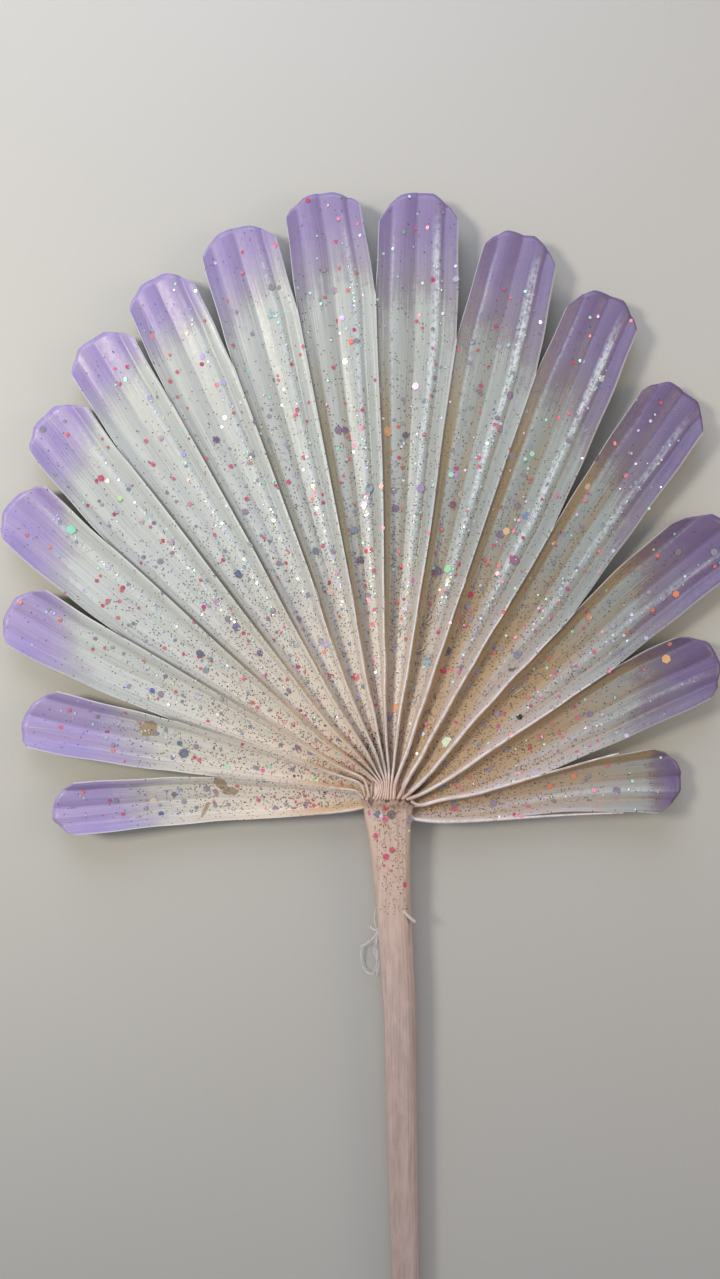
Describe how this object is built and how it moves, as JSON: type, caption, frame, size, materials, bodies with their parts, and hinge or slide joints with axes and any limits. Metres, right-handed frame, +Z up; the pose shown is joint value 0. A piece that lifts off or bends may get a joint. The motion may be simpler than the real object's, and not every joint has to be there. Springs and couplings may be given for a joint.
{
  "type": "fan palm leaf",
  "caption": "Dried fan palm leaf cut to a round outline: pleated blade split into rounded segments, ragged hastula and long stalk, painted and glittered.",
  "frame": {"origin": "centre of the leaf's footprint, on the surface that it lies on", "axes": "+Y from the cut end of the stalk towards the tips of the blade, +X to the right seen from above, +Z up out of the painted face"},
  "size_m": [0.2027, 0.3965, 0.0106],
  "materials": {
    "painted_leaf": "dry plant fibre sprayed white and pale pink with lavender tips, satin, with stuck-on glitter",
    "glitter": "glossy iridescent craft glitter film"
  },
  "bodies": {
    "root": {"fan_palm_leaf": "painted_leaf"}
  },
  "joints": []
}
